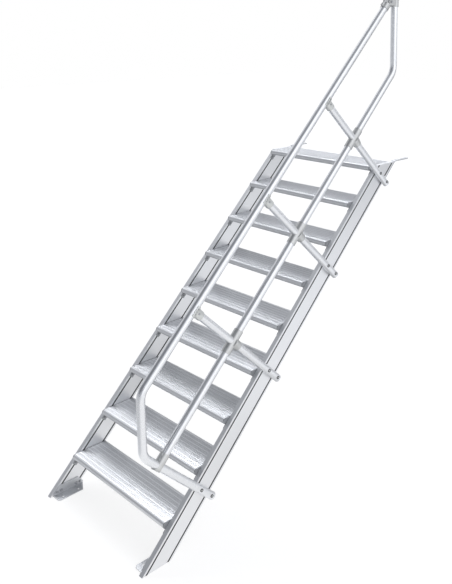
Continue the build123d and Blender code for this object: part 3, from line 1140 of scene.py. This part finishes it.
class STAIR_OT_finish_fittings(bpy.types.Operator):
    """Give the castings, brackets, bolt and plug their finishes"""

    bl_idname = "stair.finish_fittings"
    bl_label = "Finish fittings"

    def execute(self, context):
        finish = context.scene.stair_finish
        castings = cast_metal("cast_aluminium", finish.casting_colour)
        cast = nodes_named("tee", "cross", "handrail_clamp", "handrail_socket", "post_collar")
        dress(cast, castings)
        plates = cut_plate("bracket_aluminium", finish.bracket_colour, PLATE_ROUGHNESS)
        dress(nodes_named("foot_bracket", "landing_lug"), plates)
        # painted shade: the end plates are darkened to stand in for the shade on the treads' ends
        ends = cut_plate("end_plate_aluminium", finish.end_plate_colour, END_ROUGHNESS)
        dress(nodes_named("end_plates"), ends)
        dress(["swivel_pin"], fastener_material(context))
        dress(["post_plug"], moulded_plastic("plug_plastic", finish.plug_colour))
        return {"FINISHED"}


class STAIR_OT_stage(bpy.types.Operator):
    """Add the floor, the studio light and the camera"""

    bl_idname = "stair.stage"
    bl_label = "Studio"

    def execute(self, context):
        stage = context.scene.stair_stage
        add_floor(stage)
        add_world(context.scene)
        add_lamps(stage)
        add_camera(context.scene, stage)
        context.scene.view_settings.view_transform = "Standard"
        return {"FINISHED"}


def add_floor(stage):
    """White floor that keeps a faint shadow, and in reflections glows greyer in front of the stair,
    far behind it and under it, as painted shade.
    """
    bpy.ops.object.select_all(action="DESELECT")
    bpy.ops.mesh.primitive_plane_add(size=stage.floor_size, location=(0, 0, FLOOR_Z))
    floor = bpy.context.active_object
    floor.name = "floor"
    material, shader = new_material("floor_paint")
    paths = shader.tree.nodes.new("ShaderNodeLightPath")
    camera_ray = Value(shader, paths.outputs["Is Camera Ray"])
    glossy_ray = Value(shader, paths.outputs["Is Glossy Ray"])
    through_ray = Value(shader, paths.outputs["Is Transmission Ray"])
    x, y, z = shader.split(shader.place())
    # painted shade in reflections: greyer ahead of the stair and far behind it, and a painted
    # shadow under it
    grey = shader.level((x * AHEAD_X + y * AHEAD_Y) / AHEAD_REACH, FLOOR_AHEAD)
    far = shader.level((y - BEHIND_START) / BEHIND_REACH, FLOOR_BEHIND)
    from_middle = (x - BENEATH_X).math("ABSOLUTE")
    between = ((BENEATH_HALF_WIDTH - from_middle) / BENEATH_SIDE_FADE).clamp()
    shadow_beneath = between * ((y - BENEATH_START) / BENEATH_FADE).clamp()
    shade = 1.0 - shadow_beneath * BENEATH_SHADOW_DARKNESS
    room = shader.mix(1.0, grey, far, "MULTIPLY")
    room = shader.mix(1.0, room, shader.join(shade, shade, shade), "MULTIPLY")
    paint = shader.node("ShaderNodeBsdfDiffuse", None, Color=FLOOR_PAINT)
    white = shader.node("ShaderNodeEmission", None, Color=WHITE, Strength=FLOOR_GLOW)
    pale = shader.node("ShaderNodeEmission", None, Color=room, Strength=FLOOR_GLOW_MIRRORED)
    seen = shader.node("ShaderNodeMixShader", None, PAINT_SHARE_SEEN, white, paint)
    mirrored = shader.node("ShaderNodeMixShader", None, PAINT_SHARE_MIRRORED, pale, paint)
    result = shader.node("ShaderNodeMixShader", None, camera_ray + through_ray, paint, seen)
    result = shader.node("ShaderNodeMixShader", None, glossy_ray, result, mirrored)
    shader.node("ShaderNodeOutputMaterial", None, Surface=result)
    floor.data.materials.append(material)


def add_world(scene):
    """White room, with a dark ceiling above and before the stair that metal reflects."""
    world = bpy.data.worlds.new("studio")
    world.use_nodes = True
    scene.world = world
    shader = Shader(world.node_tree)
    x, y, z = shader.split(shader.node("ShaderNodeTexCoord", None, out="Generated"))
    paths = shader.tree.nodes.new("ShaderNodeLightPath")
    camera_ray = Value(shader, paths.outputs["Is Camera Ray"])
    through_ray = Value(shader, paths.outputs["Is Transmission Ray"])
    toward_dark = x * DARK_CEILING.x + y * DARK_CEILING.y + z * DARK_CEILING.z
    ceiling = shader.level(toward_dark, ROOM_CEILING)
    front = shader.level(y * -1.0, ROOM_FRONT)
    level = shader.mix(1.0, ceiling, front, "MULTIPLY")
    level = shader.mix(1.0, level, shader.level(z, ROOM_HEIGHT), "MULTIPLY")
    window = ((x - WINDOW_START) * WINDOW_SHARPNESS).clamp()
    seen = camera_ray + through_ray
    colour = shader.mix(seen, level, WHITE)
    toward_box = x * SOFTBOX.x + y * SOFTBOX.y + z * SOFTBOX.z
    box = ((toward_box - BOX_START) / BOX_FADE).clamp()
    glow = window * WINDOW_STRENGTH + box * BOX_STRENGTH + ROOM_STRENGTH
    strength = seen + (1.0 - seen) * glow
    light = shader.node("ShaderNodeBackground", None, Color=colour, Strength=strength)
    shader.node("ShaderNodeOutputWorld", None, Surface=light)


def add_lamps(stage):
    data = bpy.data.lights.new("key", "AREA")
    data.shape = "RECTANGLE"
    data.size = KEY_SIZE
    data.size_y = KEY_SIZE
    data.energy = stage.key_power
    lamp = bpy.data.objects.new("key", data)
    bpy.context.scene.collection.objects.link(lamp)
    lamp.location = KEY_PLACE
    lamp.rotation_euler = (KEY_TARGET - lamp.location).to_track_quat("-Z", "Y").to_euler()


def add_camera(scene, stage):
    data = bpy.data.cameras.new("camera")
    data.sensor_fit = "HORIZONTAL"
    data.sensor_width = SENSOR_WIDTH
    data.lens = stage.camera_lens
    data.shift_x = stage.camera_shift_x
    data.shift_y = stage.camera_shift_y
    data.clip_end = VIEW_END
    camera = bpy.data.objects.new("camera", data)
    scene.collection.objects.link(camera)
    camera.location = stage.camera_place
    camera.rotation_euler = (pi / 2 - stage.camera_tilt, 0, stage.camera_azimuth)
    scene.camera = camera


class STAIR_PT_panel(bpy.types.Panel):
    """Sidebar panel that lists the stair's steps and settings"""

    bl_idname = "STAIR_PT_panel"
    bl_label = "Access stair"
    bl_space_type = "VIEW_3D"
    bl_region_type = "UI"
    bl_category = "Stair"

    def draw(self, context):
        for operator in OPERATORS:
            self.layout.operator(operator.bl_idname)
        scene = context.scene
        groups = (scene.stair_finish, scene.stair_fasteners, scene.stair_clamps, scene.stair_stage)
        for settings in groups:
            for name in settings.bl_rna.properties.keys():
                if name not in ("rna_type", "name"):
                    self.layout.prop(settings, name)


OPERATORS = (
    STAIR_OT_finish_extrusions,
    STAIR_OT_finish_tubes,
    STAIR_OT_finish_fittings,
    STAIR_OT_handrail_clamps,
    STAIR_OT_tread_screws,
    STAIR_OT_foot_washers,
    STAIR_OT_foot_screws,
    STAIR_OT_set_screws,
    STAIR_OT_clamp_screws,
    STAIR_OT_bracket_bolts,
    STAIR_OT_stage,
)
SETTINGS = (FinishSettings, FastenerSettings, ClampSettings, StageSettings)


def register():
    for item in SETTINGS + OPERATORS + (STAIR_PT_panel,):
        bpy.utils.register_class(item)
    bpy.types.Scene.stair_finish = bpy.props.PointerProperty(type=FinishSettings)
    bpy.types.Scene.stair_fasteners = bpy.props.PointerProperty(type=FastenerSettings)
    bpy.types.Scene.stair_clamps = bpy.props.PointerProperty(type=ClampSettings)
    bpy.types.Scene.stair_stage = bpy.props.PointerProperty(type=StageSettings)


def unregister():
    del bpy.types.Scene.stair_stage
    del bpy.types.Scene.stair_clamps
    del bpy.types.Scene.stair_fasteners
    del bpy.types.Scene.stair_finish
    for item in reversed(SETTINGS + OPERATORS + (STAIR_PT_panel,)):
        bpy.utils.unregister_class(item)


def main():
    register()
    for operator in OPERATORS:
        group, name = operator.bl_idname.split(".")
        getattr(getattr(bpy.ops, group), name)()


if __name__ == "__main__":
    main()
